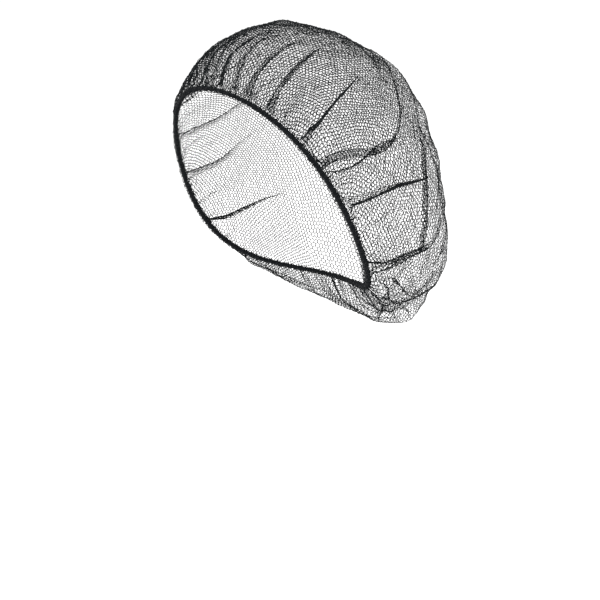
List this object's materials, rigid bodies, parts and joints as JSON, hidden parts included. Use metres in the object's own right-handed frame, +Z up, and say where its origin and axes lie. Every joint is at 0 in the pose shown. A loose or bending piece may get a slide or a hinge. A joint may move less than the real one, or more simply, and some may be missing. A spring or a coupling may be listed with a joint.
{
  "type": "hairnet",
  "caption": "Fine net bag gathered into a round elastic band, worn over the crown with a slack, folded bag behind the head.",
  "frame": {"origin": "on the inside of the net at the crown, where the top of the wearer's head bears", "axes": "+Z up, -Y towards the wearer's face, +X to the wearer's left"},
  "size_m": [0.17, 0.223, 0.2578],
  "materials": {
    "band_elastic": "matte",
    "nylon_net": "matte"
  },
  "bodies": {
    "root": {"elastic_band": "band_elastic", "net_bag": "nylon_net"}
  },
  "joints": []
}
